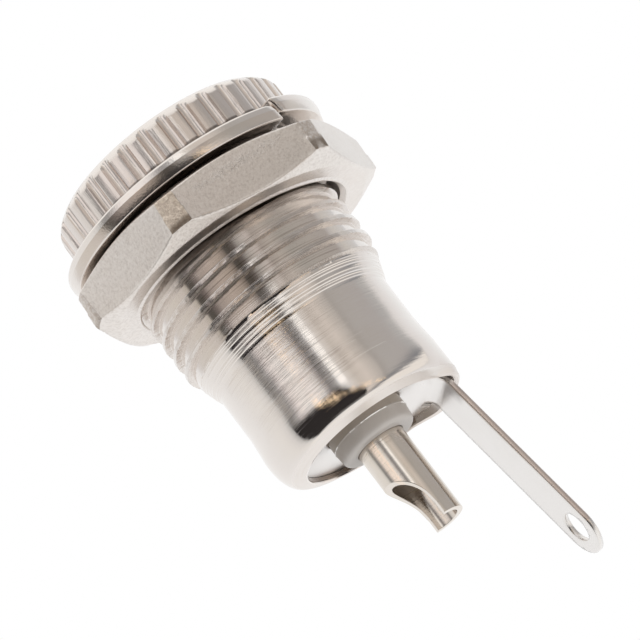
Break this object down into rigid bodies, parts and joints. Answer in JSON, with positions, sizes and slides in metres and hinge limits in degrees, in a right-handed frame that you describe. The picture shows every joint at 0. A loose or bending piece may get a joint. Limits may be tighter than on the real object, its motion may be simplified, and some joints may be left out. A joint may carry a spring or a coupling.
{
  "type": "dc barrel jack",
  "caption": "Panel-mount DC power jack: knurled head, threaded metal body, lock washer, hex nut, ground lug and solder cup.",
  "frame": {"origin": "centre of the head's front face, where the plug goes in", "axes": "+Z along the jack's axis towards the solder side, +X towards the ground lug"},
  "size_m": [0.017, 0.0156, 0.0299],
  "materials": {
    "nickel_shell": "turned, nickel plated, satin to bright",
    "nickel_washer": "nickel plated, satin",
    "nickel_nut": "nickel plated, satin with fine grain",
    "tinned_lug": "tin plated, semi-bright",
    "insulator": "moulded, semi-matte",
    "tinned_pin": "turned, tin plated, bright",
    "spring": "phosphor bronze, thin silver flash"
  },
  "bodies": {
    "root": {"shell": "nickel_shell", "lock_washer": "nickel_washer", "hex_nut": "nickel_nut", "ground_lug": "tinned_lug", "rear_insulator": "insulator", "centre_pin": "tinned_pin", "contact_spring": "spring"}
  },
  "joints": []
}
